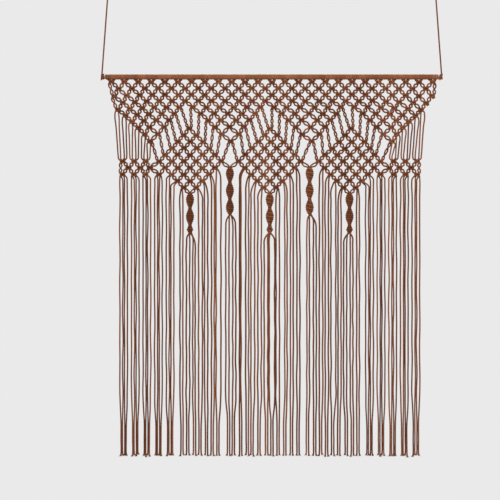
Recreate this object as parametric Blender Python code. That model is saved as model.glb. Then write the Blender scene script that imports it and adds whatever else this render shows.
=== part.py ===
"""A macrame wall hanging: fifty folded cotton cords on a thin rod, knotted into an open net.

Frame: metres, +Z up, +X along the rod, +Y towards the wall. The origin is the rod's middle.
Each folded cord is one solid. It takes five turns round the rod, its two strands run side by
side through their knots, and below the last knot they part and hang as two tips of the fringe.
A square knot takes two neighbouring cords, so each of them carries half of it.
"""

import math

import bmesh
import bpy
import numpy as np
from mathutils import Matrix

# Clearance between pieces that touch on the real object.
GAP = 0.0003

# Rod
ROD_RADIUS = 0.0025
ROD_LENGTH = 0.682
ROD_SIDES = 16

# Folded cords, counted from the left
CORDS = 50
CORD_SPACING = 0.013375
STRAND = 0.0028
SLEEVE_SIDES = 8

# Square knots
KNOT_WIDTH = 0.0112
KNOT_HEIGHT = 0.0082
KNOT_THICKNESS = 0.0058

# Rows of the full-width net and of the four hanging triangles
FIRST_ROW_DROP = 0.0103
ROW_PITCH = 0.0126
ROW_STRETCH = 0.0002
FULL_ROWS = 4
TRIANGLES = 4
TRIANGLE_ROWS = 6
CORDS_PER_TRIANGLE = 12

# Rows of the diamonds and of the side bands
DIAMONDS = 3
DIAMOND_DROP = 0.1034
DIAMOND_PITCH = 0.01306
DIAMOND_WIDEST = 6

# Below the triangles the hanging draws in: how much less it measures than on the rod
LOWER_CENTRE = -0.004
SIDE_DRAWN_IN = 0.0265
DIAMOND_DRAWN_IN = 0.0010
DIAMOND_KNOT_DRAWN_IN = 0.00195
BAND_KNOT_DRAWN_IN = 0.00355
DIAMOND_REACH = 2.75
BAND_REACH = 2.5
NARROWING = (0.030, 0.150)

# The right side swells out over these drops, and is back in over these
SIDE_SWELL = 0.008
SWELLING = (0.045, 0.075)
SUBSIDING = (0.120, 0.165)

# The left edge is drawn in over these drops and eases back over these, and both edges sag there
EDGE_DRAWN_IN = 0.009
EDGE_PLACES = 4.5
DRAWING_IN = (0.012, 0.055)
EASING_BACK = (0.070, 0.125)
EDGE_SAG = 0.0048
SAG_PLACES = 3.0

# Half-knot sinnets, which twist once in each length
SINNET_TWIST = 0.034
SINNET_HALF_WIDE = 0.0070
SINNET_HALF_NARROW = 0.0038
OUTER_SINNET = (0.181, 0.273)
INNER_SINNET = (0.233, 0.309)

# Loose lengths between knots
ROPE_WIDTH = 0.0053
ROPE_THICKNESS = 0.0030
ROPE_NECK = 0.006

# Fringe
TIP_DROP = 0.757
SPREAD_DROP = 0.035
GATHER_ABOVE_TIP = 0.110
GROUP_CORDS = 10
GROUP_SPREAD = 0.0035
MIDDLE_MARGIN = 0.0053
GROUP_OUTER = 0.0062
GATHERED_OUTER = 0.0052

# Hanging cords, each with a hitch on the rod's end and a tied loop at its top
HANGER_RADIUS = 0.0015
HITCH_WIDTH = 0.0078
HANGER_LEAN = 0.068
HANGER_TOP = 0.166
HANGER_STEP = 0.0075
LOOP_RADIUS = 0.0110
LOOP_KNOT = 0.0034
LOOP_SEAT = 0.0020

CORD_COLOUR = (0.23, 0.092, 0.052, 1.0)
ROD_COLOUR = (0.36, 0.22, 0.12, 1.0)


def clear_scene():
    for obj in list(bpy.data.objects):
        bpy.data.objects.remove(obj, do_unlink=True)


def material(name, colour, roughness):
    made = bpy.data.materials.new(name)
    made.use_nodes = True
    shader = made.node_tree.nodes["Principled BSDF"]
    shader.inputs["Base Color"].default_value = colour
    shader.inputs["Roughness"].default_value = roughness
    shader.inputs["Metallic"].default_value = 0.0
    return made


def cord_material(name):
    return material(name, CORD_COLOUR, 0.85)


def rod_material(name):
    return material(name, ROD_COLOUR, 0.6)


def finish(name, bm, surface):
    """Puts the mesh into a named object with its own material."""
    bmesh.ops.recalc_face_normals(bm, faces=bm.faces)
    mesh = bpy.data.meshes.new(name)
    bm.to_mesh(mesh)
    bm.free()
    mesh.materials.append(surface)
    obj = bpy.data.objects.new(name, mesh)
    bpy.context.scene.collection.objects.link(obj)
    return obj


# The net's plan: a place along the hanging counts knots, so a knot at place q joins cords
# 2q - 1 and 2q, and a row of the net moves half a place from the row above.


def smooth(low, high, value):
    """0 below low, 1 above high, and an even ease between."""
    t = min(1.0, max(0.0, (value - low) / (high - low)))
    return t * t * (3 - 2 * t)


def upper_x(place):
    """The place's x in the full-width rows, where the cords keep their spacing on the rod."""
    return (2 * place - CORDS / 2) * CORD_SPACING


def lower_half():
    """Half the width of the side bands, from one outermost knot to the other."""
    return (CORDS / 2 - 1) * CORD_SPACING - SIDE_DRAWN_IN


def band_pitch():
    return 2 * CORD_SPACING - BAND_KNOT_DRAWN_IN


def lower_x(place):
    """The place's x below the triangles: even steps in each diamond and in each side band."""
    diamond_spacing = CORDS_PER_TRIANGLE * CORD_SPACING - DIAMOND_DRAWN_IN
    middle = (DIAMONDS + 1) * CORDS_PER_TRIANGLE / 4
    offset = place - middle
    nearest = max(-1, min(1, round(offset / (CORDS_PER_TRIANGLE / 2))))
    steps = offset - nearest * CORDS_PER_TRIANGLE / 2
    from_outermost = middle - 0.5 - abs(offset)
    if from_outermost < BAND_REACH:
        from_centre = lower_half() - from_outermost * band_pitch()
        return LOWER_CENTRE + math.copysign(from_centre, offset)
    if abs(steps) > DIAMOND_REACH:
        between = math.copysign(1, steps)
        return LOWER_CENTRE + (nearest + between / 2) * diamond_spacing
    knot_pitch = 2 * CORD_SPACING - DIAMOND_KNOT_DRAWN_IN
    return LOWER_CENTRE + nearest * diamond_spacing + steps * knot_pitch


def place_x(place, drop):
    """A place's x at a drop below the rod: the upper width eases into the lower one."""
    share = smooth(*NARROWING, drop)
    swell = smooth(*SWELLING, drop) * (1 - smooth(*SUBSIDING, drop))
    drawn_in = edge_share(drop) * max(0.0, 1 - (place - 0.5) / EDGE_PLACES)
    return (
        (1 - share) * upper_x(place)
        + share * lower_x(place)
        + SIDE_SWELL * swell * max(0.0, place) / (CORDS / 2)
        + EDGE_DRAWN_IN * drawn_in
    )


def edge_share(drop):
    """How much of the edges' draw and sag there is at a drop below the rod."""
    return smooth(*DRAWING_IN, drop) * (1 - smooth(*EASING_BACK, drop))


def sagged(place, drop):
    """A knot's real drop: the knots near both edges hang lower than their row."""
    last = TRIANGLES * CORDS_PER_TRIANGLE / 2
    from_side = max(0.0, min(place, last - place) - 0.5)
    return drop + EDGE_SAG * edge_share(drop) * max(0.0, 1 - from_side / SAG_PLACES)


def row_drop(row):
    """The drop of a row of the net; the hanging rows stretch a little under their own weight."""
    return FIRST_ROW_DROP + ROW_PITCH * (row - 1) + ROW_STRETCH * max(0, row - 5) ** 2


def diamond_drop(row):
    return DIAMOND_DROP + DIAMOND_PITCH * (row - 1)


def row_of(centre, count, drop):
    """A row of knots one place apart about a centre, as (place, drop)."""
    return [(centre + i - (count - 1) / 2, drop) for i in range(count)]


def full_rows():
    knots = []
    for row in range(1, FULL_ROWS + 1):
        knots += row_of(CORDS / 4, CORDS // 2 - (row + 1) % 2, row_drop(row))
    return knots


def triangles():
    knots = []
    for i in range(TRIANGLES):
        centre = CORDS_PER_TRIANGLE / 4 * (2 * i + 1)
        for row in range(TRIANGLE_ROWS):
            drop = row_drop(FULL_ROWS + 1 + row)
            knots += row_of(centre, TRIANGLE_ROWS - row, drop)
    return knots


def diamonds():
    knots = []
    for i in range(DIAMONDS):
        centre = CORDS_PER_TRIANGLE / 2 * (i + 1)
        for row in range(1, 2 * DIAMOND_WIDEST - 1):
            count = DIAMOND_WIDEST - abs(DIAMOND_WIDEST - row)
            knots += row_of(centre, count, diamond_drop(row))
    return knots


def side_bands():
    """The bands begin level with the diamonds' widest row and have three, three and four knots."""
    last = TRIANGLES * CORDS_PER_TRIANGLE / 2
    knots = []
    for row, (first, count) in enumerate(((0.5, 3), (1.0, 3), (0.5, 4))):
        drop = diamond_drop(DIAMOND_WIDEST + row)
        for i in range(count):
            knots += [(first + i, drop), (last - first - i, drop)]
    return knots


def sinnets():
    """(place, top, bottom) of each twisted sinnet: between the diamonds and under them."""
    step = CORDS_PER_TRIANGLE / 2
    between = [(step * (i + 1.5), *OUTER_SINNET) for i in range(DIAMONDS - 1)]
    under = [(step * (i + 1), *INNER_SINNET) for i in range(DIAMONDS)]
    return between + under


# Solids


def sleeve(bm, left, right, outer):
    """A closed ring round the rod, from left to right. Returns its lowest outer face."""
    half = math.pi / SLEEVE_SIDES
    inner = (ROD_RADIUS + GAP) / math.cos(half)
    sections = []
    for i in range(SLEEVE_SIDES):
        angle = -math.pi / 2 + half * (2 * i - 1)
        across, up = math.cos(angle), math.sin(angle)
        corners = ((left, outer), (right, outer), (right, inner), (left, inner))
        sections.append([bm.verts.new((x, r * across, r * up)) for x, r in corners])
    for i in range(SLEEVE_SIDES):
        a, b = sections[i], sections[(i + 1) % SLEEVE_SIDES]
        for k in range(4):
            n = (k + 1) % 4
            face = bm.faces.new((a[k], b[k], b[n], a[n]))
            if i == 0 and k == 0:
                lowest = face
    return lowest


def extend(bm, face, left, right, thickness, drop):
    """Carries the solid on from its end face to a level rectangle, and returns the new end."""
    end = bmesh.ops.extrude_discrete_faces(bm, faces=[face])["faces"][0]
    middle = end.calc_center_median()
    for v in end.verts:
        v.co = (
            right if v.co.x > middle.x else left,
            math.copysign(thickness / 2, v.co.y - middle.y),
            -drop,
        )
    return end


def half_knot(place, drop, side):
    """The left and right edges of a cord's half of a knot; side is -1 for the left cord."""
    middle = place_x(place, drop)
    edges = (middle + side * KNOT_WIDTH / 2, middle + side * GAP / 2)
    return min(edges), max(edges)


def stations(cord):
    """The knots of a cord from the top down, as (place, drop, side)."""
    found = []
    for place, drop in full_rows() + triangles() + diamonds() + side_bands():
        if cord in (2 * place - 1, 2 * place):
            side = -1 if cord == 2 * place - 1 else 1
            found.append((place, sagged(place, drop), side))
    return sorted(found, key=lambda knot: knot[1])


def rope(bm, face, start, end):
    """A loose length between two knots; start and end are (left, right, drop)."""
    for left, right, drop in (start, end):
        middle = (left + right) / 2
        half = ROPE_WIDTH / 2
        face = extend(bm, face, middle - half, middle + half, ROPE_THICKNESS, drop)
    return face


def knotted(bm, face, cord):
    """Carries the cord through its knots. Returns the end face and the last knot."""
    last = None
    for place, drop, side in stations(cord):
        left, right = half_knot(place, drop, side)
        top, bottom = drop - KNOT_HEIGHT / 2, drop + KNOT_HEIGHT / 2
        if last and top - last[2] > 2 * ROPE_NECK:
            above = (last[0], last[1], last[2] + ROPE_NECK)
            face = rope(bm, face, above, (left, right, top - ROPE_NECK))
        face = extend(bm, face, left, right, KNOT_THICKNESS, top)
        face = extend(bm, face, left, right, KNOT_THICKNESS, bottom)
        last = (left, right, bottom)
    return face, last


def sinnet_of(cord):
    """The cord's sinnet as (place, top, bottom, side), or None."""
    for place, top, bottom in sinnets():
        if cord in (2 * place - 1, 2 * place):
            return place, top, bottom, -1 if cord == 2 * place - 1 else 1
    return None


def twisted(bm, face, last, sinnet):
    """Carries the cord down its half of a sinnet, which is flat and turns as it goes down."""
    place, top, bottom, side = sinnet
    if top - last[2] > 2 * ROPE_NECK:
        middle = place_x(place, top) + side * (ROPE_WIDTH + GAP) / 2
        half = ROPE_WIDTH / 2
        end = (middle - half, middle + half, top - ROPE_NECK)
        face = rope(bm, face, (last[0], last[1], last[2] + ROPE_NECK), end)
    steps = 2 * round((bottom - top) / SINNET_TWIST) + 1
    for i, drop in enumerate(np.linspace(top, bottom, steps)):
        across, through = SINNET_HALF_WIDE, SINNET_HALF_NARROW
        if i % 2:
            across, through = through, across
        middle = place_x(place, drop)
        edges = sorted((middle + side * GAP / 2, middle + side * across))
        face = extend(bm, face, *edges, 2 * through, float(drop))
    return face, (*edges, bottom)


def fringe_x(cord):
    """The middles of a cord's two strands as they hang, and as they gather near the tips."""
    count = TRIANGLES * CORDS_PER_TRIANGLE
    from_side = min(cord, count - 1 - cord)
    outwards = -1 if cord < count / 2 else 1
    if from_side < GROUP_CORDS:
        from_outermost = (2 * (from_side // 2) + 0.5) * band_pitch() / 2
        group = LOWER_CENTRE + outwards * (lower_half() + GROUP_SPREAD - from_outermost)
        side = -1 if cord % 2 == 0 else 1
        inner, outer = (STRAND + GAP) / 2, GROUP_OUTER
        hanging = sorted((group + side * inner, group + side * outer))
        gathered = GATHERED_OUTER - STRAND - GAP
        return hanging, sorted((group + side * gathered, group + side * GATHERED_OUTER))
    middle_half = lower_half() + GROUP_SPREAD - GROUP_CORDS * band_pitch() / 2 - MIDDLE_MARGIN
    pitch = 2 * middle_half / (count - 2 * GROUP_CORDS - 1)
    middle = LOWER_CENTRE + (cord - (count - 1) / 2) * pitch
    apart = pitch / 4
    gathered = (STRAND + 2 * GAP) / 2
    return (middle - apart, middle + apart), (middle - gathered, middle + gathered)


def part_strands(bm, face, last, cord):
    """Splits the end of the cord in two and lets both strands hang to their tips."""
    left, right, drop = last
    for offset in (-GAP, GAP):
        ends = [f for f in bm.faces if all(abs(v.co.z + drop) < 1e-6 for v in f.verts)]
        cut = [*ends, *{e for f in ends for e in f.edges}, *{v for f in ends for v in f.verts}]
        place = ((left + right) / 2 + offset, 0, 0)
        bmesh.ops.bisect_plane(bm, geom=cut, plane_co=place, plane_no=(1, 0, 0))
    ends = [f for f in bm.faces if all(abs(v.co.z + drop) < 1e-6 for v in f.verts)]
    ends.sort(key=lambda f: f.calc_center_median().x)
    hanging, gathered = fringe_x(cord)
    half = STRAND / 2
    for end, hang, tip in zip((ends[0], ends[-1]), hanging, gathered):
        levels = (
            (hang, drop + SPREAD_DROP),
            (hang, TIP_DROP - GATHER_ABOVE_TIP),
            (tip, TIP_DROP),
        )
        for middle, level in levels:
            end = extend(bm, end, middle - half, middle + half, STRAND, level)


def folded_cord(cord):
    """One cord: five turns on the rod, its knots, and its two strands of the fringe."""
    bm = bmesh.new()
    middle = (cord - (CORDS - 1) / 2) * CORD_SPACING
    half = (CORD_SPACING - GAP) / 2
    face = sleeve(bm, middle - half, middle + half, ROD_RADIUS + STRAND)
    face, last = knotted(bm, face, cord)
    sinnet = sinnet_of(cord)
    if sinnet:
        face, last = twisted(bm, face, last, sinnet)
    if cord < TRIANGLES * CORDS_PER_TRIANGLE:
        part_strands(bm, face, last, cord)
    name = f"cord_{cord + 1:02d}"
    return finish(name, bm, cord_material(name))


def rod():
    bm = bmesh.new()
    bmesh.ops.create_cone(
        bm,
        cap_ends=True,
        segments=ROD_SIDES,
        radius1=ROD_RADIUS,
        radius2=ROD_RADIUS,
        depth=ROD_LENGTH,
        matrix=Matrix.Rotation(math.pi / 2, 4, "Y"),
    )
    return finish("rod", bm, rod_material("rod"))


def hitch_radius():
    """The outside of a hanging cord's turns on the rod."""
    return ROD_RADIUS + GAP + 2 * HANGER_RADIUS


def hitch_middle():
    """How far from the rod's middle a hanging cord is tied on, outside the last folded cord."""
    return CORDS * CORD_SPACING / 2 + GAP + HITCH_WIDTH / 2


def hitch(name, side):
    """A hanging cord's turns round the rod's end."""
    bm = bmesh.new()
    middle = side * hitch_middle()
    sleeve(bm, middle - HITCH_WIDTH / 2, middle + HITCH_WIDTH / 2, hitch_radius())
    return finish(name, bm, cord_material(name))


def hanging_cord(name, side):
    """A taut cord from its hitch to its loop. It leans in a little on its way up."""
    bottom = hitch_radius() + GAP
    count = round((HANGER_TOP - bottom) / HANGER_STEP) + 1
    curve = bpy.data.curves.new(name, "CURVE")
    curve.dimensions = "3D"
    curve.bevel_depth = HANGER_RADIUS
    curve.bevel_resolution = 2
    curve.use_fill_caps = True
    spline = curve.splines.new("POLY")
    spline.points.add(count - 1)
    for point, height in zip(spline.points, np.linspace(bottom, HANGER_TOP, count)):
        x = side * (hitch_middle() - HANGER_LEAN * (height - bottom))
        point.co = (x, 0, height, 1)
    curve.materials.append(cord_material(name))
    obj = bpy.data.objects.new(name, curve)
    bpy.context.scene.collection.objects.link(obj)
    return obj


def loop(name, side):
    """The tied loop at a hanging cord's top: a ring of cord standing on its knot."""
    rise = HANGER_TOP - hitch_radius() - GAP
    foot_x = side * (hitch_middle() - HANGER_LEAN * rise)
    knot_middle = HANGER_TOP + GAP + LOOP_KNOT
    ring_middle = knot_middle + LOOP_SEAT + LOOP_RADIUS
    bm = bmesh.new()
    bmesh.ops.create_icosphere(
        bm,
        subdivisions=2,
        radius=LOOP_KNOT,
        matrix=Matrix.Translation((foot_x, 0, knot_middle)),
    )
    obj = finish(name, bm, cord_material(name))
    bpy.ops.mesh.primitive_torus_add(
        major_radius=LOOP_RADIUS,
        minor_radius=HANGER_RADIUS,
        major_segments=20,
        minor_segments=8,
        location=(foot_x, 0, ring_middle),
        rotation=(math.pi / 2, 0, 0),
    )
    ring = bpy.context.object
    ring.name = name + "_ring"
    ring.hide_render = True
    ring.display_type = "WIRE"
    joined = obj.modifiers.new("ring", "BOOLEAN")
    joined.operation = "UNION"
    joined.object = ring
    return obj


def build():
    clear_scene()
    rod()
    for cord in range(CORDS):
        folded_cord(cord)
    for word, side in (("left", -1), ("right", 1)):
        hitch(f"{word}_hitch", side)
        hanging_cord(f"{word}_hanging_cord", side)
        loop(f"{word}_loop", side)


build()
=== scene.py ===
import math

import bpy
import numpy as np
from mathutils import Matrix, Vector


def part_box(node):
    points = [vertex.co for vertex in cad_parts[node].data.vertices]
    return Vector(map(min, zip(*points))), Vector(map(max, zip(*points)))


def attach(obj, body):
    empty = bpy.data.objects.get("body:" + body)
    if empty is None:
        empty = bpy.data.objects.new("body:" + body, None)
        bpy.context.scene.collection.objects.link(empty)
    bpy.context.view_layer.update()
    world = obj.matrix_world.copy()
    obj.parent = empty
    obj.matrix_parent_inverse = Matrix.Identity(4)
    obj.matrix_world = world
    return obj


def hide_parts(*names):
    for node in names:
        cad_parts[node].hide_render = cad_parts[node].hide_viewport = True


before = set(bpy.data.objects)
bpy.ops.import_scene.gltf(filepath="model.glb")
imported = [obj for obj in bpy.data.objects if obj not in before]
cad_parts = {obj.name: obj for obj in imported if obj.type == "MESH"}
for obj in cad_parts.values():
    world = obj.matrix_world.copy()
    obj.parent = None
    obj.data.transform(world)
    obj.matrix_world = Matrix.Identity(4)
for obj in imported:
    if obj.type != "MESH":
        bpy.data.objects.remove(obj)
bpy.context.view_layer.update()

# A macrame wall hanging, tied strand by strand. Fifty folded cords give a hundred strands. Each
# strand's route runs on without a break from the rod through its knots, its twists and its
# sinnet to its tip in the fringe, and the net's pieces are lengths cut from those routes.

# The cord's thickness, pulled tight and where it lies slack, and the length of one ply's turn
STRAND = 0.0030
NET_STRAND = 0.0033
PLY_LENGTH = 0.0032
SIDES = 8

# The plan of the net, as it is on the frame: its cords, and its knots across and down
CORDS = 50
CORD_SPACING = 0.013375
FIRST_ROW_DROP = 0.0103
ROW_PITCH = 0.0126
ROW_STRETCH = 0.0002
FULL_ROWS = 4
TRIANGLES = 4
TRIANGLE_ROWS = 6
CORDS_PER_TRIANGLE = 12
DIAMONDS = 3
DIAMOND_DROP = 0.1034
DIAMOND_PITCH = 0.01306
DIAMOND_WIDEST = 6
LOWER_CENTRE = -0.004
SIDE_DRAWN_IN = 0.0265
DIAMOND_DRAWN_IN = 0.0010
DIAMOND_KNOT_DRAWN_IN = 0.00195
BAND_KNOT_DRAWN_IN = 0.00355
DIAMOND_REACH = 2.75
BAND_REACH = 2.5

# The net's width changes with the drop below the rod. It narrows down to the diamonds, its right
# side stands out on the way, and its left edge draws in. Knots near both edges sag.
NARROWING = (0.030, 0.150)
SIDE_SWELL = 0.008
SWELLING = (0.045, 0.075)
SUBSIDING = (0.120, 0.165)
EDGE_DRAWN_IN = 0.009
EDGE_PLACES = 4.5
DRAWING_IN = (0.012, 0.055)
EASING_BACK = (0.070, 0.125)
EDGE_SAG = 0.0048
SAG_PLACES = 3.0

# Sinnets: the drops of their tops and bottoms, and how far down a half turn takes
SINNET_TWIST = 0.034
SINNET_BETWEEN_DIAMONDS = (0.181, 0.273)
SINNET_UNDER_DIAMOND = (0.233, 0.309)

# The fringe's plan. The outermost cords of each side hang in twos, so their strands hang in fours,
# and every cord's strands gather above their tips.
TIP_DROP = 0.757
GATHER_ABOVE_TIP = 0.092
GROUP_CORDS = 10
GROUP_SPREAD = 0.0035
MIDDLE_MARGIN = 0.0053
GROUP_OUTER = 0.0076
GROUP_INNER = 0.0016
GATHERED_OUTER = 0.0052

# The turns on the rod. The first and the last keep clear of the hanging cords' hitches, and every
# cord's turns keep a little clear of the next cord's.
ROD_RADIUS = 0.0025
TURNS_PER_CORD = 5
TURN_RINGS = 18
TURNS_START = -0.8
CLEAR_OF_HITCH = 0.0014
CLEAR_OF_NEXT = 0.0002

# Square knots, in knot units of about a strand: across, up and towards the front. The front strand
# comes from the left and crosses the two cores twice, and the back strand comes from the right.
LEFT_CORE = (
    (-1.00, 1.62, 0.00), (-0.56, 0.90, 0.00), (-0.47, 0.00, 0.00), (-0.56, -0.90, 0.00),
    (-1.00, -1.62, 0.00),
)
FRONT_STRAND = (
    (-1.85, 1.12, 0.00), (-1.22, 1.10, 0.45), (-0.45, 0.86, 0.96), (0.58, 0.60, 0.96),
    (1.36, 0.46, 0.30), (1.62, 0.00, 0.05), (1.36, -0.46, 0.30), (0.58, -0.60, 0.96),
    (-0.45, -0.86, 0.96), (-1.22, -1.10, 0.45), (-1.85, -1.12, 0.00),
)
BACK_STRAND = (
    (1.85, 1.12, 0.10), (1.44, 1.06, 0.78), (1.08, 0.56, -0.25), (0.40, 0.42, -0.96),
    (-0.55, 0.48, -0.92), (-1.38, 0.50, 0.10), (-1.62, 0.00, 0.78), (-1.38, -0.50, 0.10),
    (-0.55, -0.48, -0.92), (0.40, -0.42, -0.96), (1.08, -0.56, -0.25), (1.44, -1.06, 0.78),
    (1.85, -1.12, 0.10),
)
KNOT_UNIT = 0.0028

# Lengths between knots. A drop under PETAL_GAP from knot to knot makes a petal, and one under
# EDGE_GAP makes an edge, whose pair crosses once.
PETAL_GAP = 0.020
PETAL_BOW = 0.0031
EDGE_GAP = 0.032
EDGE_BOW = 0.0026
TWIST_LENGTH = 0.0130
TWIST_BOW = 0.0021
TWIST_END_LENGTH = 0.010

# Side strands: how far from their knots' middles the outer and the inner one leave and enter, and
# how far under or over those middles they bend and run straight
SIDE_STRANDS_LEAVE = (0.0062, -0.0008)
SIDE_STRANDS_ENTER = (0.0084, 0.0036)
LEAVE_BEND = 0.0042
LEAVE_STRAIGHT = 0.0070
ENTER_STRAIGHT = 0.0092
ENTER_BEND = 0.0056
SIDE_STRAND_DEPTH = 0.0006

# The sinnets' form
SINNET_WIDE = 0.0069
SINNET_NARROW = 0.0021
SINNET_FIRST_BULGE = 0.012
HALF_KNOT = 0.0040

# The fringe's form
WAVE = 0.0005
GROUP_FALL = (0.007, 0.010)
MIDDLE_FALL = (0.018, 0.028)
FRINGE_DEPTH = 0.0011
FRINGE_LEVELS = 18
GATHERING = 0.020
TIP_FLARE = 1.55
TIP_LENGTH = 0.0075
TIP_SPREAD = 0.0013
FIBRES = 8
FIBRE_LENGTH = 0.0026
FIBRE_THICK = 0.00075
FIBRE_SIDES = 3

# The last two cords' tucked ends: how far aside, how far back and how far up
TUCK = ((0.0015, 0.0030, 0.0012), (0.0040, 0.0036, 0.0052))

# Clear gaps in the middle of the fringe: the cord that each follows, and how wide it is
FRINGE_GAPS = ((16, 0.005), (25, 0.003), (28, 0.007))

# Hanging cords
HITCH_CORD = 0.0029
HITCH_PITCH = 0.0024
HANGING_CORD = 0.0030
CORD_BEHIND_HITCH = 0.0030
KNOT_ABOVE_CORD = 0.0034
KNOT_HEIGHT = 0.0068
KNOT_BEND = 0.0013

# Studio
CAMERA_PLACE = (-0.0435, -5.0, -0.346)
CAMERA_LENS = 180.0
SENSOR_WIDTH = 36.0
BACKGROUND = (0.823, 0.823, 0.823, 1.0)
LIT_POINT = (-0.004, 0, -0.35)
LAMPS = (
    ("key_light", (-0.9, -2.2, 1.5), 1.2, 40),
    ("fill_light", (1.6, -2.4, 0.2), 1.6, 14),
    ("rim_light", (0.6, 2.2, 1.2), 1.4, 6),
)
FLOOR_HEIGHT = -1.05
FLOOR_RADIUS = 1.9
FLOOR_CORNERS = 64
FLOOR_COLOUR = (0.6, 0.6, 0.6, 1)

rng = np.random.default_rng(11)


# Studio


def aim(lamp, target):
    """Turns a lamp's object so that it shines at the target."""
    way = np.array(target) - np.array(lamp.location)
    flat = math.hypot(way[0], way[1])
    lamp.rotation_euler = (math.pi / 2 + math.atan2(way[2], flat), 0, math.atan2(-way[0], way[1]))


def area_light(name, place, size, power, target):
    """Hangs a round soft lamp at a place, aimed at the target."""
    lamp = bpy.data.lights.new(name, "AREA")
    lamp.shape = "DISK"
    lamp.size = size
    lamp.energy = power
    obj = bpy.data.objects.new(name, lamp)
    obj.location = place
    bpy.context.scene.collection.objects.link(obj)
    aim(obj, target)


def studio():
    """A long lens level with the hanging's middle, and lamps above, beside and behind it."""
    scene = bpy.context.scene
    camera = bpy.data.cameras.new("camera")
    camera.sensor_width = SENSOR_WIDTH
    camera.lens = CAMERA_LENS
    camera.clip_end = 50.0
    eye = bpy.data.objects.new("camera", camera)
    eye.location = CAMERA_PLACE
    eye.rotation_euler = (math.pi / 2, 0, 0)
    scene.collection.objects.link(eye)
    scene.camera = eye
    world = bpy.data.worlds.new("studio")
    world.use_nodes = True
    world.node_tree.nodes["Background"].inputs["Color"].default_value = BACKGROUND
    world.node_tree.nodes["Background"].inputs["Strength"].default_value = 1.0
    scene.world = world
    scene.view_settings.view_transform = "Standard"
    for name, place, size, power in LAMPS:
        area_light(name, place, size, power, LIT_POINT)


def floor():
    """A round pale floor well under the fringe."""
    turn = np.linspace(0, 2 * np.pi, FLOOR_CORNERS, endpoint=False)
    height = np.full(FLOOR_CORNERS, FLOOR_HEIGHT)
    rim = np.stack([FLOOR_RADIUS * np.cos(turn), FLOOR_RADIUS * np.sin(turn), height], axis=1)
    mesh = bpy.data.meshes.new("floor")
    mesh.from_pydata(rim.tolist(), [], [list(range(FLOOR_CORNERS))])
    obj = bpy.data.objects.new("floor", mesh)
    bpy.context.scene.collection.objects.link(obj)
    paint = bpy.data.materials.new("pale_floor")
    paint.use_nodes = True
    shader = paint.node_tree.nodes["Principled BSDF"]
    shader.inputs["Base Color"].default_value = FLOOR_COLOUR
    shader.inputs["Roughness"].default_value = 0.9
    mesh.materials.append(paint)


# Finishes


class Nodes:
    """Adds and joins a material's nodes."""

    def __init__(self, material):
        self.tree = material.node_tree

    def add(self, kind, **values):
        """A new node with its settings."""
        node = self.tree.nodes.new(kind)
        for key, value in values.items():
            setattr(node, key, value)
        return node

    def join(self, source, target):
        """Links an output to an input."""
        self.tree.links.new(source, target)

    def math(self, kind, a, b=None):
        """The output of a math node on one or two numbers or outputs."""
        node = self.add("ShaderNodeMath", operation=kind)
        for socket, value in zip(node.inputs, (a, b)):
            if value is None:
                continue
            if isinstance(value, (int, float)):
                socket.default_value = value
            else:
                self.join(value, socket)
        return node.outputs[0]


def ramp(nodes, value, stops):
    """Colours a value by stops, which are (position, colour)."""
    node = nodes.add("ShaderNodeValToRGB")
    points = node.color_ramp.elements
    while len(points) < len(stops):
        points.new(0.5)
    for point, (position, colour) in zip(points, stops):
        point.position = position
        point.color = (*colour, 1.0)
    nodes.join(value, node.inputs[0])
    return node.outputs[0]


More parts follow.
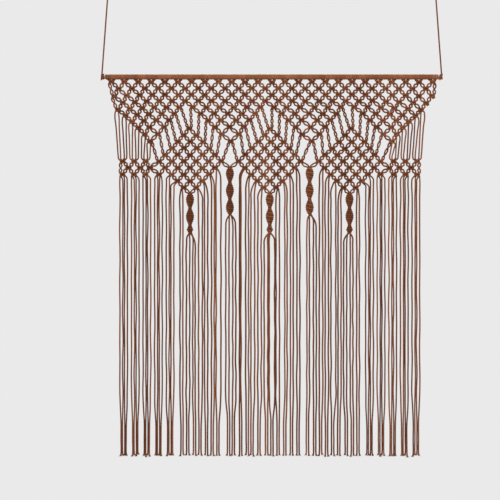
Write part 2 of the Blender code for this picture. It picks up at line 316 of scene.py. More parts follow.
def cotton_cord(name):
    """Cotton of three plies: winding grooves with painted shade in them, fine fibres and uneven dye.
    """
    made = bpy.data.materials.new(name)
    made.use_nodes = True
    n = Nodes(made)
    shader = made.node_tree.nodes["Principled BSDF"]
    uv = n.add("ShaderNodeUVMap", uv_map="strand")
    split = n.add("ShaderNodeSeparateXYZ")
    n.join(uv.outputs[0], split.inputs[0])
    around, along = split.outputs[0], split.outputs[1]
    winding = n.math("ADD", n.math("MULTIPLY", around, 3.0), n.math("DIVIDE", along, PLY_LENGTH))
    ply_and_groove_shade = n.math("ABSOLUTE", n.math("SINE", n.math("MULTIPLY", winding, math.pi)))
    place = n.add("ShaderNodeTexCoord").outputs["Object"]
    fibre_place = n.add("ShaderNodeCombineXYZ")
    n.join(n.math("MULTIPLY", winding, 2.2), fibre_place.inputs[0])
    n.join(n.math("MULTIPLY", along, 260.0), fibre_place.inputs[1])
    fibres = n.add("ShaderNodeTexNoise")
    fibres.inputs["Scale"].default_value = 2.4
    fibres.inputs["Detail"].default_value = 3.0
    n.join(fibre_place.outputs[0], fibres.inputs["Vector"])
    dye = n.add("ShaderNodeTexNoise")
    dye.inputs["Scale"].default_value = 46.0
    dye.inputs["Detail"].default_value = 2.0
    n.join(place, dye.inputs["Vector"])
    # The tone attribute varies at random from strand to strand, but is set high on the rod's turns:
    # painted highlight.
    tone_and_painted_highlight = n.add("ShaderNodeAttribute", attribute_name="tone_and_painted_highlight").outputs["Fac"]
    # The ply term darkens the colour in the grooves between the plies: painted shade.
    shade = n.math("MULTIPLY", dye.outputs["Fac"], 0.35)
    for part, weight in ((tone_and_painted_highlight, 0.32), (fibres.outputs["Fac"], 0.25), (ply_and_groove_shade, 0.16)):
        shade = n.math("ADD", shade, n.math("MULTIPLY", part, weight))
    colour = ramp(n, shade, (
        (0.22, (0.085, 0.023, 0.008)),
        (0.55, (0.155, 0.047, 0.018)),
        (0.95, (0.330, 0.122, 0.055)),
    ))
    n.join(colour, shader.inputs["Base Color"])
    fine = n.math("MULTIPLY", fibres.outputs["Fac"], 0.45)
    height = n.math("ADD", n.math("POWER", ply_and_groove_shade, 0.55), fine)
    bump = n.add("ShaderNodeBump")
    bump.inputs["Strength"].default_value = 0.75
    bump.inputs["Distance"].default_value = 0.0005
    n.join(height, bump.inputs["Height"])
    n.join(bump.outputs[0], shader.inputs["Normal"])
    shader.inputs["Roughness"].default_value = 0.88
    shader.inputs["Specular IOR Level"].default_value = 0.12
    shader.inputs["Sheen Weight"].default_value = 0.06
    shader.inputs["Sheen Roughness"].default_value = 0.5
    shader.inputs["Sheen Tint"].default_value = (0.75, 0.55, 0.45, 1.0)
    return made


def dowel_wood():
    """Plain beech, with grain along the rod."""
    made = bpy.data.materials.new("dowel_wood")
    made.use_nodes = True
    n = Nodes(made)
    shader = made.node_tree.nodes["Principled BSDF"]
    stretch = n.add("ShaderNodeMapping")
    stretch.inputs["Scale"].default_value = (18.0, 700.0, 700.0)
    n.join(n.add("ShaderNodeTexCoord").outputs["Object"], stretch.inputs[0])
    grain = n.add("ShaderNodeTexNoise")
    grain.inputs["Scale"].default_value = 1.0
    grain.inputs["Detail"].default_value = 4.0
    n.join(stretch.outputs[0], grain.inputs["Vector"])
    colour = ramp(n, grain.outputs["Fac"], (
        (0.30, (0.22, 0.12, 0.06)),
        (0.70, (0.45, 0.28, 0.15)),
    ))
    n.join(colour, shader.inputs["Base Color"])
    bump = n.add("ShaderNodeBump")
    bump.inputs["Strength"].default_value = 0.3
    bump.inputs["Distance"].default_value = 0.0002
    n.join(grain.outputs["Fac"], bump.inputs["Height"])
    n.join(bump.outputs[0], shader.inputs["Normal"])
    shader.inputs["Roughness"].default_value = 0.6
    return made


# The plan: a place along the hanging counts knots, so a knot at place q joins cords 2q - 1 and
# 2q, and a row of the net moves half a place from the row above.


def smooth(low, high, value):
    """0 below low, 1 above high, and an even ease between."""
    t = min(1.0, max(0.0, (value - low) / (high - low)))
    return t * t * (3 - 2 * t)


def lower_half():
    """Half the net's width below the triangles, to the outermost knots."""
    return (CORDS / 2 - 1) * CORD_SPACING - SIDE_DRAWN_IN


def band_pitch():
    """The step from knot to knot along a side band."""
    return 2 * CORD_SPACING - BAND_KNOT_DRAWN_IN


def lower_x(place):
    """The place's x below the triangles: even steps in each diamond and in each side band."""
    diamond_spacing = CORDS_PER_TRIANGLE * CORD_SPACING - DIAMOND_DRAWN_IN
    middle = (DIAMONDS + 1) * CORDS_PER_TRIANGLE / 4
    offset = place - middle
    nearest = max(-1, min(1, round(offset / (CORDS_PER_TRIANGLE / 2))))
    steps = offset - nearest * CORDS_PER_TRIANGLE / 2
    from_outermost = middle - 0.5 - abs(offset)
    if from_outermost < BAND_REACH:
        from_centre = lower_half() - from_outermost * band_pitch()
        return LOWER_CENTRE + math.copysign(from_centre, offset)
    if abs(steps) > DIAMOND_REACH:
        outwards = math.copysign(1, steps)
        return LOWER_CENTRE + (nearest + outwards / 2) * diamond_spacing
    knot_pitch = 2 * CORD_SPACING - DIAMOND_KNOT_DRAWN_IN
    return LOWER_CENTRE + nearest * diamond_spacing + steps * knot_pitch


def place_x(place, drop):
    """A place's x at a drop below the rod: the upper width eases into the lower one."""
    share = smooth(*NARROWING, drop)
    swell = smooth(*SWELLING, drop) * (1 - smooth(*SUBSIDING, drop))
    drawn_in = edge_share(drop) * max(0.0, 1 - (place - 0.5) / EDGE_PLACES)
    return (
        (1 - share) * (2 * place - CORDS / 2) * CORD_SPACING
        + share * lower_x(place)
        + SIDE_SWELL * swell * max(0.0, place) / (CORDS / 2)
        + EDGE_DRAWN_IN * drawn_in
    )


def edge_share(drop):
    """How much of the edges' draw and sag there is at a drop below the rod."""
    return smooth(*DRAWING_IN, drop) * (1 - smooth(*EASING_BACK, drop))


def sagged(place, drop):
    """A knot's real drop: the knots near both edges hang lower than their row."""
    last = TRIANGLES * CORDS_PER_TRIANGLE / 2
    from_side = max(0.0, min(place, last - place) - 0.5)
    return drop + EDGE_SAG * edge_share(drop) * max(0.0, 1 - from_side / SAG_PLACES)


def row_drop(row):
    """How far under the rod a row of the upper net and the triangles is."""
    return FIRST_ROW_DROP + ROW_PITCH * (row - 1) + ROW_STRETCH * max(0, row - 5) ** 2


def diamond_drop(row):
    """How far under the rod a row of the diamonds is."""
    return DIAMOND_DROP + DIAMOND_PITCH * (row - 1)


def knots():
    """Every knot as (place, drop, piece, row)."""
    found = []
    for row in range(1, FULL_ROWS + 1):
        count = CORDS // 2 - (row + 1) % 2
        for i in range(count):
            found.append((CORDS / 4 + i - (count - 1) / 2, row_drop(row), "upper_net", row))
    for t in range(TRIANGLES):
        centre = CORDS_PER_TRIANGLE / 4 * (2 * t + 1)
        for row in range(TRIANGLE_ROWS):
            for i in range(TRIANGLE_ROWS - row):
                place = centre + i - (TRIANGLE_ROWS - row - 1) / 2
                number = FULL_ROWS + 1 + row
                found.append((place, row_drop(number), f"triangle_{t + 1}", number))
    for t in range(DIAMONDS):
        centre = CORDS_PER_TRIANGLE / 2 * (t + 1)
        for row in range(1, 2 * DIAMOND_WIDEST - 1):
            count = DIAMOND_WIDEST - abs(DIAMOND_WIDEST - row)
            for i in range(count):
                place = centre + i - (count - 1) / 2
                found.append((place, diamond_drop(row), f"diamond_{t + 1}", row))
    last = TRIANGLES * CORDS_PER_TRIANGLE / 2
    for row, (first, count) in enumerate(((0.5, 3), (1.0, 3), (0.5, 4))):
        for i in range(count):
            drop = diamond_drop(DIAMOND_WIDEST + row)
            found.append((first + i, drop, "left_band", row))
            found.append((last - first - i, drop, "right_band", row))
    return [(place, sagged(place, drop), piece, row) for place, drop, piece, row in found]


def sinnets():
    """(place, top, bottom, piece) of each twisted sinnet, from the left."""
    step = CORDS_PER_TRIANGLE / 2
    found = []
    for i in range(2 * DIAMONDS - 1):
        top, bottom = SINNET_BETWEEN_DIAMONDS if i % 2 else SINNET_UNDER_DIAMOND
        found.append((step * (i / 2 + 1), top, bottom, f"sinnet_{i + 1}"))
    return found


# Routes. A route is a list of (x, y, z, thickness, piece, steps): a point that the strand's middle
# passes, the strand's thickness there, the piece that the length up to it belongs to, and how
# many rings that length has.


def knot_points(knot, index, slot_number):
    """One strand's points through a knot. Slots 1 to 4 are the strands from the left.

    The knot's own points are scaled, turned by a slight lean and set at the knot's place.
    """
    place, drop, piece, row = knot
    wobble = np.random.default_rng(1000 + index)
    mirrored = row % 2 == 0
    lean, size = wobble.normal(0, 0.05), KNOT_UNIT * (1 + wobble.normal(0, 0.035))
    shift = wobble.normal(0, 0.00035, 2)
    if slot_number in (2, 3):
        points = np.array(LEFT_CORE) * (5 - 2 * slot_number, 1, 1)
    else:
        front = (slot_number == 1) != mirrored
        points = np.array(FRONT_STRAND if front else BACK_STRAND) * (-1 if mirrored else 1, 1, 1)
    u, w, f = (points * size).T
    x = place_x(place, drop) + shift[0] + u * math.cos(lean) - w * math.sin(lean)
    z = -drop + shift[1] + w * math.cos(lean) + u * math.sin(lean)
    return [(a, -b, c, NET_STRAND, piece, 3) for a, b, c in zip(x, f, z)]


def between(start, end, share, aside=0.0, forward=0.0):
    """A point part of the way from start to end, moved aside in their plane and forward."""
    way = np.array(end[:3]) - np.array(start[:3])
    length = math.hypot(way[0], way[2])
    point = np.array(start[:3]) + share * way
    return (
        point[0] + aside * -way[2] / length,
        point[1] - forward,
        point[2] + aside * way[0] / length,
    )


def petal(strands, ends, piece):
    """Bows a pair of strands apart, halfway between two neighbouring knots."""
    top = np.mean([s[-1][:3] for s in strands], axis=0)
    foot = np.mean([e[0][:3] for e in ends], axis=0)
    for strand, side in zip(strands, (-1, 1)):
        x, y, z = between(top, foot, 0.5, side * PETAL_BOW, 0.0002 * side)
        strand.append((x, y, z, NET_STRAND, piece, 5))


def twist(strands, ends, count, bow, piece):
    """Winds a pair of strands round each other: count crossings between their two knots.

    A strand's place aside is the bow times the cosine of half a turn for each crossing, and its
    place in depth is half a strand times the sine. The bow is wider next to the knots.
    """
    top = np.mean([s[-1][:3] for s in strands], axis=0)
    foot = np.mean([e[0][:3] for e in ends], axis=0)
    turns = np.linspace(0, count, 4 * count + 1)[1:-1]
    for strand, side in zip(strands, (-1, 1)):
        for turn in turns:
            swing = math.pi * turn
            ease = 1.4 if turn < 0.75 or turn > count - 0.75 else 1.0
            x, y, z = between(
                top, foot, turn / count, side * bow * ease * math.cos(swing),
                side * STRAND * 0.5 * math.sin(swing),
            )
            strand.append((x, y, z, STRAND, piece, 3))


def hang_apart(strands, ends, before, knot, sides, piece):
    """Lets the two strands of a side cord hang straight and apart between their knots."""
    for which, (strand, points) in enumerate(zip(strands, ends)):
        outer = [which == 0 if side < 0 else which == 1 for side in sides]
        top_x = place_x(*before) + sides[0] * SIDE_STRANDS_LEAVE[0 if outer[0] else 1]
        low_x = place_x(*knot) + sides[1] * SIDE_STRANDS_ENTER[0 if outer[1] else 1]
        top_z, low_z = -before[1] - LEAVE_STRAIGHT, -knot[1] + ENTER_STRAIGHT
        depth = SIDE_STRAND_DEPTH * (which * 2 - 1)
        bend_x = 0.8 * top_x + 0.2 * strand[-2][0]
        strand[-1] = (bend_x, depth, -before[1] - LEAVE_BEND, STRAND, piece, 3)
        for share in (0.0, 0.33, 0.67, 1.0):
            x = (1 - share) * top_x + share * low_x
            z = (1 - share) * top_z + share * low_z
            strand.append((x, depth, z, STRAND, piece, 4))
        bend_x = 0.86 * low_x + 0.14 * points[0][0]
        strand.append((bend_x, depth, -knot[1] + ENTER_BEND, STRAND, piece, 3))


def wave(z, seed):
    """A slow, small drift to the side and to the front of a strand that hangs free.

    Each is the sum of a long and a short sine of the height, with the strand's own phases and sizes.
    """
    drift = np.random.default_rng(5000 + seed)
    phase = drift.uniform(0, 2 * math.pi, 4)
    size = drift.uniform(0.3, 1.0, 4) * WAVE
    x = size[0] * math.sin(z / 0.021 + phase[0]) + size[1] * math.sin(z / 0.0074 + phase[1])
    y = size[2] * math.sin(z / 0.026 + phase[2]) + size[3] * math.sin(z / 0.009 + phase[3])
    return x, 1.3 * y


def fringe_x(cord):
    """A cord's two strands as they hang, and as they gather near the tips."""
    count = TRIANGLES * CORDS_PER_TRIANGLE
    from_side = min(cord, count - 1 - cord)
    outwards = -1 if cord < count / 2 else 1
    if from_side < GROUP_CORDS:
        from_outermost = (2 * (from_side // 2) + 0.5) * band_pitch() / 2
        group = LOWER_CENTRE + outwards * (lower_half() + GROUP_SPREAD - from_outermost)
        side = -1 if cord % 2 == 0 else 1
        hanging = sorted((group + side * GROUP_INNER, group + side * GROUP_OUTER))
        inner = GATHERED_OUTER - STRAND
        return hanging, sorted((group + side * inner, group + side * GATHERED_OUTER))
    middle_half = lower_half() + GROUP_SPREAD - GROUP_CORDS * band_pitch() / 2 - MIDDLE_MARGIN
    filled = 2 * middle_half - sum(gap for after, gap in FRINGE_GAPS)
    pitch = filled / (count - 2 * GROUP_CORDS - 1)
    middle = LOWER_CENTRE - middle_half + (cord - GROUP_CORDS) * pitch
    middle += sum(gap for after, gap in FRINGE_GAPS if cord > after)
    jitter = np.random.default_rng(300 + cord).normal(0, 0.0011, 3)
    hanging = (middle - pitch / 4 + jitter[0], middle + pitch / 4 + jitter[1])
    tips = (middle - STRAND * 0.75 + jitter[2], middle + STRAND * 0.75 + jitter[2])
    return hanging, tips


def fringe(strand, cord, which, piece):
    """Hangs the strand from its last knot or sinnet down to its tip.

    It spreads to its own x by a power of what is left of its fall, eases over to its gathered x
    above the tip, and drifts a little all the way. The tip leans outwards and flares.
    """
    hanging, tips = fringe_x(cord)
    seed = 2 * cord + which
    own = np.random.default_rng(7000 + seed)
    x0, y0, z0 = strand[-1][:3]
    tip_z = -TIP_DROP + own.normal(0, 0.0010)
    depth = FRINGE_DEPTH * (-1 if seed % 2 else 1)
    grouped = min(cord, TRIANGLES * CORDS_PER_TRIANGLE - 1 - cord) < GROUP_CORDS
    fall = own.uniform(*(GROUP_FALL if grouped else MIDDLE_FALL))
    thick = STRAND if grouped else NET_STRAND
    gather = TIP_DROP - GATHER_ABOVE_TIP
    falling = z0 - fall * np.array([0.18, 0.38, 0.62, 0.86])
    for z in (*falling, *np.linspace(z0 - 1.2 * fall, tip_z, FRINGE_LEVELS)):
        spread = 1 - max(0.0, 1 - (z0 - z) / fall) ** 2.2
        share = smooth(gather - GATHERING, gather + GATHERING, -z)
        x = (1 - share) * hanging[which] + share * tips[which]
        dx, dy = wave(z, seed)
        dx, dy = dx * spread * (1 - 0.7 * share), dy * spread
        x, y = x0 + (x - x0) * spread, y0 + (depth - y0) * spread
        strand.append((x + dx, y + dy, z, thick, piece, 5 if z < z0 - fall else 3))
    x, y, z = strand.pop()[:3]
    outwards = TIP_SPREAD * (1 if hanging[which] == max(hanging) else -1) * own.uniform(0.3, 1.2)
    strand.append((x, y, z + TIP_LENGTH, thick, piece, 4))
    strand.append((x + 0.2 * outwards, y, z + 0.4 * TIP_LENGTH, STRAND * 1.08, piece, 3))
    strand.append((x + outwards, y + own.uniform(-0.0006, 0.0006), z, STRAND * TIP_FLARE, piece, 3))


def sinnet(strands, knot):
    """Winds the two outer strands round the two cores. The flat sinnet turns as it goes down.

    An outer strand goes round a flat ellipse, half a turn for each half knot, and the ellipse's
    long axis turns evenly with the drop.
    """
    place, top, bottom, piece = knot
    for pair, side in ((strands[:2], -1), (strands[2:], 1)):
        start = np.mean([strand[-1][:3] for strand in pair], axis=0)
        head = (place_x(place, top) + side * SINNET_WIDE * 0.6, 0.0, -top + 0.0012)
        for strand, way in zip(pair, (-1, 1)):
            strand.append((*between(start, head, 0.5, way * PETAL_BOW), STRAND, piece, 4))
    steps = int((bottom - top) / HALF_KNOT * 6) + 1
    for slot_number, strand in enumerate(strands, start=1):
        for i in range(steps):
            s = i * HALF_KNOT / 6
            open_up = smooth(-0.004, 0.006, s) * smooth(-0.004, 0.005, bottom - top - s)
            turn = math.pi * (s - SINNET_FIRST_BULGE) / SINNET_TWIST
            if slot_number in (2, 3):
                u, v = 0.5 * STRAND * 0.9 * (slot_number * 2 - 5), 0.0
                if i % 4:
                    continue
            else:
                swing = math.pi * s / HALF_KNOT + (math.pi if slot_number == 1 else 0)
                u = SINNET_WIDE * (0.45 + 0.55 * open_up) * math.cos(swing)
                v = SINNET_NARROW * math.sin(swing)
            x = place_x(place, top + s) + u * math.cos(turn) - v * math.sin(turn)
            y = u * math.sin(turn) + v * math.cos(turn)
            strand.append((x, y, -(top + s), STRAND * 1.14, piece, 2))


def net_routes():
    """The hundred strands, tied row by row from the rod to the sinnets.

    Returns the routes, and for each cord the numbers of its left and its right strand.
    """
    plan = knots()
    routes = []
    for cord in range(CORDS):
        middle = (cord - (CORDS - 1) / 2) * CORD_SPACING
        towards_knot = CORD_SPACING * 0.08 * (1 if cord % 2 == 0 else -1)
        for side in (-1, 1):
            x = middle + towards_knot + side * STRAND * 0.62
            start = (x, 0.0030, -ROD_RADIUS, STRAND, "upper_net", 3)
            routes.append([start, (x, 0.0012, -ROD_RADIUS - 0.0022, STRAND, "upper_net", 3)])
    hands = [[2 * cord, 2 * cord + 1] for cord in range(CORDS)]
    last_knot = {}
    ordered = sorted(range(len(plan)), key=lambda i: plan[i][1])
    for index in ordered:
        knot = plan[index]
        for cord, side in ((round(2 * knot[0] - 1), -1), (round(2 * knot[0]), 1)):
            link_to(routes, hands, cord, side, knot, index, last_knot)
    for knot in sinnets():
        left, right = round(2 * knot[0] - 1), round(2 * knot[0])
        group = [routes[s] for cord in (left, right) for s in hands[cord]]
        sinnet(group, knot)
    return routes, hands


def link_to(routes, hands, cord, side, knot, index, last_knot):
    """Carries a cord's two strands from its last knot to this one and through it."""
    place, drop, piece = knot[:3]
    slots = (1, 2) if side < 0 else (3, 4)
    ends = [knot_points(knot, index, number) for number in slots]
    strands = [routes[s] for s in hands[cord]]
    before = last_knot.get(cord)
    if before is not None:
        gap, same = drop - before[1], before[0] == place
        from_side = min(cord, TRIANGLES * CORDS_PER_TRIANGLE - 1 - cord)
        if gap < PETAL_GAP and not same:
            petal(strands, ends, piece)
        elif gap < EDGE_GAP:
            twist(strands, ends, 1, EDGE_BOW, piece)
            hands[cord].reverse()
        elif from_side < CORDS_PER_TRIANGLE / 2 and before[2] != piece:
            word = "left" if cord < CORDS / 2 else "right"
            sides = (before[3], side)
            hang_apart(strands, ends, before[:2], knot[:2], sides, f"{word}_side_strands")
        else:
            count = max(1, round((gap - TWIST_END_LENGTH) / TWIST_LENGTH))
            number = 1 + cord * DIAMONDS // (TRIANGLES * CORDS_PER_TRIANGLE)
            twist(strands, ends, count, TWIST_BOW, f"twisted_pairs_{number}")
            if count % 2:
                hands[cord].reverse()
        strands = [routes[s] for s in hands[cord]]
    for strand, points in zip(strands, ends):
        strand.extend(points)
    last_knot[cord] = (place, drop, piece, side)


def hang_fringe(routes, hands):
    """Lets every strand hang as fringe, but tucks in those of the last two cords."""
    names = ("left_fringe", "fringe_2", "fringe_3", "fringe_4", "right_fringe")
    count = TRIANGLES * CORDS_PER_TRIANGLE
    for cord in range(CORDS):
        for which, number in enumerate(hands[cord]):
            strand = routes[number]
            if cord >= count:
                x, z, last_piece = strand[-1][0], strand[-1][2], strand[-1][4]
                for aside, back, up in TUCK:
                    strand.append((x - aside, back, z + up, STRAND, last_piece, 4))
                continue
            fringe(strand, cord, which, names[cord * len(names) // count])


# Solids


def smooth_line(route):
    """A cubic through the route's points whose slopes weigh each side by the other's length.

    Returns the rings' middles, thicknesses and lengths along, and the span that each lies in.
    """
    p = np.array([point[:3] for point in route], float)
    thick = np.array([point[3] for point in route])
    steps = np.array([point[5] for point in route[1:]])
    h = np.maximum(np.linalg.norm(np.diff(p, axis=0), axis=1), 1e-6)[:, None]
    slope = np.diff(p, axis=0) / h
    inner = (slope[1:] * h[:-1] + slope[:-1] * h[1:]) / (h[1:] + h[:-1])
    slopes = np.concatenate([slope[:1], inner, slope[-1:]])
    span = np.repeat(np.arange(len(steps)), steps)
    start = np.repeat(np.cumsum(steps) - steps, steps)
    t = ((np.arange(len(span)) - start) / steps[span])[:, None]
    a, b, m, n, length = p[span], p[span + 1], slopes[span], slopes[span + 1], h[span]
    line = (
        (2 * t**3 - 3 * t**2 + 1) * a
        + (t**3 - 2 * t**2 + t) * length * m
        + (3 * t**2 - 2 * t**3) * b
        + (t**3 - t**2) * length * n
    )
    line = np.concatenate([line, p[-1:]])
    size = (1 - t[:, 0]) * thick[span] + t[:, 0] * thick[span + 1]
    size = np.concatenate([size, thick[-1:]])
    return line, size, length_along(line), np.append(span, span[-1])


def length_along(line):
    """How far along the line each of its points is."""
    return np.concatenate([[0], np.cumsum(np.linalg.norm(np.diff(line, axis=0), axis=1))])


def carried_frames(lines):
    """Two directions square to each line at each ring, carried along so that they never twist."""
    rings = max(len(line) for line in lines)
    ways = np.zeros((len(lines), rings, 3))
    for i, line in enumerate(lines):
        way = np.gradient(line, axis=0)
        way /= np.maximum(np.linalg.norm(way, axis=1, keepdims=True), 1e-12)
        ways[i, : len(line)] = way
        ways[i, len(line):] = way[-1]
    side = np.tile([0.0, 1.0, 0.001], (len(lines), 1))
    sides = np.zeros_like(ways)
    for ring in range(rings):
        side = side - ways[:, ring] * np.sum(side * ways[:, ring], axis=1, keepdims=True)
        side = side / np.maximum(np.linalg.norm(side, axis=1, keepdims=True), 1e-12)
        sides[:, ring] = side
    return ways, sides


def tube(line, size, along, way, side, sides=SIDES):
    """Rings of points round a line, closed at both ends.

    A point is the line's middle plus half the thickness times the cosine and sine of its turn
    along the two carried directions. Returns points, faces, and each corner's strand UV.
    """
    rings = len(line)
    turn = 2 * np.pi * np.arange(sides) / sides
    up = np.cross(way, side)
    ring = np.cos(turn)[None, :, None] * side[:, None] + np.sin(turn)[None, :, None] * up[:, None]
    points = line[:, None] + ring * (size / 2)[:, None, None]
    points = np.concatenate([points.reshape(-1, 3), line[:1], line[-1:]])
    i, k = np.meshgrid(np.arange(rings - 1), np.arange(sides), indexing="ij")
    i, k = i.ravel(), k.ravel()
    n = (k + 1) % sides
    here, beyond = i * sides, (i + 1) * sides
    walls = np.stack([here + k, here + n, beyond + n, beyond + k], axis=1)
    u = np.stack([k, k + 1, k + 1, k], axis=1) / sides
    v = np.stack([along[i], along[i], along[i + 1], along[i + 1]], axis=1)
    k = np.arange(sides)
    n = (k + 1) % sides
    first, last = rings * sides, rings * sides + 1
    caps = np.concatenate([
        np.stack([np.full(sides, first), n, k], axis=1),
        np.stack([np.full(sides, last), (rings - 1) * sides + k, (rings - 1) * sides + n], axis=1),
    ])
    first_u, last_u = np.stack([k, k + 1, k], axis=1), np.stack([k, k, k + 1], axis=1)
    cap_u = np.concatenate([first_u, last_u]) / sides
    cap_v = np.repeat([along[0], along[-1]], sides)[:, None] * np.ones(3)
    return points, walls, caps, (u, v), (cap_u, cap_v)


def single_tube(line, thick, along=None):
    """A tube of one thickness round one line."""
    ways, sides = carried_frames([line])
    along = length_along(line) if along is None else along
    return tube(line, np.full(len(line), thick), along, ways[0], sides[0])


def mesh_piece(name, tubes, surface):
    """One mesh of tubes, each a tuple of tube()'s output and a tone, a painted highlight on the rod.
    """
    points, corners, starts, uvs, tones = [], [], [], [], []
    offset, corner = 0, 0
    for (p, walls, caps, wall_uv, cap_uv), tone_and_painted_highlight in tubes:
        points.append(p)
        corners += [(walls + offset).ravel(), (caps + offset).ravel()]
        starts.append(corner + 4 * np.arange(len(walls)))
        starts.append(corner + walls.size + 3 * np.arange(len(caps)))
        for u, v in (wall_uv, cap_uv):
            uvs.append(np.stack([u.ravel(), v.ravel()], axis=1))
        tones.append(np.full(len(p), tone_and_painted_highlight))
        offset += len(p)
        corner += walls.size + caps.size
    points, corners = np.concatenate(points), np.concatenate(corners)
    mesh = bpy.data.meshes.new(name)
    mesh.vertices.add(len(points))
    mesh.vertices.foreach_set("co", points.astype(np.float32).ravel())
    mesh.loops.add(len(corners))
    mesh.loops.foreach_set("vertex_index", corners.astype(np.int32))
    starts = np.concatenate(starts)
    mesh.polygons.add(len(starts))
    mesh.polygons.foreach_set("loop_start", starts.astype(np.int32))
    mesh.update(calc_edges=True)
    layer = mesh.uv_layers.new(name="strand")
    layer.data.foreach_set("uv", np.concatenate(uvs).astype(np.float32).ravel())
    tone_and_painted_highlight = mesh.attributes.new("tone_and_painted_highlight", "FLOAT", "POINT")
    tone_and_painted_highlight.data.foreach_set("value", np.concatenate(tones).astype(np.float32))
    mesh.shade_smooth()
    mesh.materials.append(surface)
    mesh.validate()
    obj = bpy.data.objects.new(name, mesh)
    bpy.context.scene.collection.objects.link(obj)
    return obj


def cut_into_pieces(routes):
    """Sweeps every route and cuts the tubes where the piece changes. Returns name to tubes."""
    made = [smooth_line(route) for route in routes]
    ways, sides = carried_frames([m[0] for m in made])
    tones = rng.uniform(0, 1, len(routes))
    pieces = {}
    for i, (line, size, along, span) in enumerate(made):
        labels = np.array([point[4] for point in routes[i][1:]])[span]
        changes = np.flatnonzero(labels[1:] != labels[:-1]) + 1
        bounds = [0, *changes.tolist(), len(labels) - 1]
        for a, b in zip(bounds[:-1], bounds[1:]):
            if b <= a:
                continue
            cut = slice(a, b + 1)
            tubes = pieces.setdefault(str(labels[a]), [])
            shape = tube(line[cut], size[cut], along[cut], ways[i, cut], sides[i, cut])
            tubes.append((shape, tones[i]))
    return pieces


def fibre_tubes(tip, down, seed):
    """The loosened fibres at a strand's tip: short tapered threads that part as they fall."""
    own = np.random.default_rng(9000 + seed)
    lines = []
    for i in range(FIBRES):
        turn = 2 * math.pi * (i + own.uniform(0, 0.6)) / FIBRES
        reach = own.uniform(0.5, 1.7) * STRAND
        length = FIBRE_LENGTH * own.uniform(0.45, 1.0)
        out = np.array([math.cos(turn), math.sin(turn), 0.0])
        t = np.linspace(0, 1, 4)[:, None]
        line = tip + out * (0.45 * STRAND + reach * t**1.6 * 0.5) + down * (t - 0.35) * length
        lines.append((line, FIBRE_THICK * (1 - 0.65 * t[:, 0])))
    ways, sides = carried_frames([line for line, size in lines])
    tubes = []
    for i, (line, size) in enumerate(lines):
        along = np.linspace(0, 0.004, len(line))
        shape = tube(line, size, along, ways[i], sides[i], FIBRE_SIDES)
        tubes.append((shape, own.uniform(0.2, 1.0)))
    return tubes


def turn_tubes(left, right, pitch, radius, thick, seed):
    """Cord wound round the rod from left to right.

    A helix about the X axis whose radius drifts a little from turn to turn, with the turns of
    each folded cord drawn slightly together.
    """
    turns = round((right - left) / pitch)
    pitch = (right - left) / turns
    t = np.linspace(0, turns, turns * TURN_RINGS)
    own = np.random.default_rng(seed)
    drift = np.interp(t, np.arange(turns + 2), own.normal(0, 1, turns + 2))
    angle = 2 * math.pi * t + TURNS_START
    x = left + pitch * t + 0.00012 * drift - 0.00022 * np.sin(2 * np.pi * t / TURNS_PER_CORD)
    r = radius + 0.00010 * np.roll(drift, 7)
    return single_tube(np.stack([x, r * np.cos(angle), r * np.sin(angle)], axis=1), thick)


def rod_turns(surface):
    """The folded cords' turns, five for each cord, side by side along the rod, with a painted
    highlight.
    """
    pitch = CORD_SPACING / TURNS_PER_CORD
    tubes = []
    for cord in range(CORDS):
        left = (cord - CORDS / 2) * CORD_SPACING
        right = left + CORD_SPACING - (CLEAR_OF_HITCH if cord == CORDS - 1 else CLEAR_OF_NEXT)
        left += CLEAR_OF_HITCH if cord == 0 else CLEAR_OF_NEXT
        shape = turn_tubes(left, right, pitch, ROD_RADIUS + STRAND / 2, STRAND, 40 + cord)
        # A tone of 0.9 to 1.4 lifts the turns to the ramp's light end: painted highlight for the
        # light on the rod.
        tubes.append((shape, rng.uniform(0.9, 1.4)))
    return mesh_piece("rod_turns", tubes, surface)


# Hanging cords


def hitch(side, surface):
    """A hanging cord's turns at the rod's end, with one crossing over them in front.

    The turns are a helix about the X axis. The crossing goes most of the way round the rod while
    its x swings by the cosine of its turn, so that it lies aslant over them.
    """
    word = "left" if side < 0 else "right"
    low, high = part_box(f"{word}_hitch")
    outer, inner = HITCH_CORD * 0.45, HITCH_CORD * 0.42
    left = low.x + (outer if side < 0 else inner)
    right = high.x - (inner if side < 0 else outer)
    shape = turn_tubes(left, right, HITCH_PITCH, ROD_RADIUS + HITCH_CORD / 2, HITCH_CORD, 3)
    tubes = [(shape, 0.45)]
    turn = np.linspace(-0.6, 2.6, 18) * math.pi / 2
    middle = (low.x + high.x) / 2
    radius = ROD_RADIUS + HITCH_CORD * 1.02
    line = np.stack([
        middle + (high.x - low.x) * 0.30 * np.cos(turn),
        -radius * np.sin(turn),
        radius * np.cos(turn),
    ], axis=1)
    tubes.append((single_tube(line, HITCH_CORD, np.linspace(0, 0.02, len(line))), 0.6))
    piece = mesh_piece(f"{word}_hitch_turns", tubes, surface)
    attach(piece, "hanger")
    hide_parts(f"{word}_hitch")


def hanging_cord(side, surface):
    """The taut cord from the hitch to its loop, and the tied loop itself."""
    word = "left" if side < 0 else "right"
    low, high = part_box(f"{word}_hanging_cord")
    thick = HANGING_CORD
    outer, inner = sorted((low.x, high.x), key=abs, reverse=True)
    outer, inner = outer - side * thick / 10, inner + side * thick / 2
    count = 20
    path = np.stack([
        np.linspace(outer, inner, count),
        np.zeros(count),
        np.linspace(low.z - CORD_BEHIND_HITCH, high.z, count),
    ], axis=1)
    places = np.linspace(0, count - 1, 5 * count)
    dense = np.stack([np.interp(places, np.arange(count), values) for values in path.T], axis=1)
    piece = mesh_piece(f"{word}_taut_cord", [(single_tube(dense, thick), 0.5)], surface)
    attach(piece, "hanger")
    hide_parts(f"{word}_hanging_cord")
    knot = tied_loop(word, inner, high.z, thick, surface)


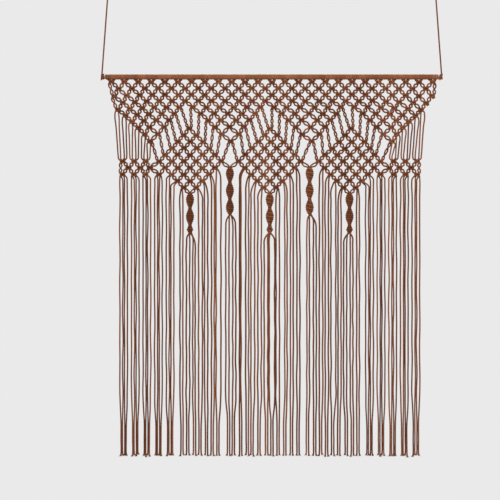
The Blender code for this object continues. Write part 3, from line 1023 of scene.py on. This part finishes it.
def tied_loop(word, x, z, thick, surface):
    """An eye of cord over an overhand knot, with the cord's short tail.

    The knot is a flattened trefoil: its middle goes across by the sine of t plus twice the sine
    of 2t, up by the cosine of t less twice the cosine of 2t, and in and out by the sine of 3t. The
    eye is a circle that narrows towards its foot.
    """
    low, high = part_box(f"{word}_loop")
    knot_z = z + KNOT_ABOVE_CORD
    t = np.linspace(0, 2 * np.pi, 60)
    knot = np.stack([
        x + KNOT_BEND * (np.sin(t) + 2 * np.sin(2 * t)) * 0.9,
        -KNOT_BEND * 1.1 * np.sin(3 * t),
        knot_z + KNOT_BEND * (np.cos(t) - 2 * np.cos(2 * t)) * 0.9,
    ], axis=1)
    radius = (high.z - low.z - KNOT_HEIGHT - thick / 2) / 2
    middle = high.z - thick / 2 - radius
    turn = np.linspace(-0.5, 1.5, 60)[1:-1] * math.pi
    eye = np.stack([
        x + radius * np.cos(turn) * (0.82 + 0.18 * np.sin(turn)),
        0.0008 * np.sin(turn * 1.5),
        middle + radius * np.sin(turn),
    ], axis=1)
    tail = np.stack([
        x + np.array([0.0, 0.0015, 0.0030, 0.0036]),
        np.array([0.0010, 0.0022, 0.0020, 0.0016]),
        knot_z + np.array([0.0, -0.0015, -0.0050, -0.0105]),
    ], axis=1)
    tubes = []
    for number, line in enumerate((knot, eye, tail)):
        tubes.append((single_tube(line, thick * 0.95), 0.35 + 0.15 * number))
    piece = mesh_piece(f"{word}_tied_loop", tubes, surface)
    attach(piece, "hanger")
    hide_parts(f"{word}_loop")
    return piece


# The hanging


def cad_cord(cord):
    """The CAD's name for a folded cord, counted from 0 at the left."""
    return f"cord_{cord + 1:02d}"


def cords_of(name, routes, hands):
    """The CAD cords whose strands pass through a piece."""
    found = []
    for cord in range(CORDS):
        if any(point[4] == name for number in hands[cord] for point in routes[number]):
            found.append(cad_cord(cord))
    return found


def net(surface):
    """Ties the net and its fringe, and makes one mesh of each of its parts."""
    routes, hands = net_routes()
    hang_fringe(routes, hands)
    pieces = cut_into_pieces(routes)
    for number, route in enumerate(routes):
        if "fringe" in route[-1][4]:
            tip = np.array(route[-1][:3])
            pieces[route[-1][4]] += fibre_tubes(tip, np.array([0, 0, -1.0]), number)
    made = {}
    for name, tubes in sorted(pieces.items()):
        piece = mesh_piece(name, tubes, surface)
        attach(piece, "net")
        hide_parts(*cords_of(name, routes, hands))
        made[name] = piece
    return made


def main():
    """Sets up the studio, then makes the hanging on the frame's rod."""
    studio()
    floor()
    cotton = cotton_cord("brown_cotton")
    bpy.data.objects["rod"].material_slots[0].material = dowel_wood()
    turns = rod_turns(cotton)
    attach(turns, "net")
    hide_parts(*[cad_cord(cord) for cord in range(CORDS)])
    made = net(cotton)
    for side in (-1, 1):
        hitch(side, cotton)
        hanging_cord(side, cotton)


main()
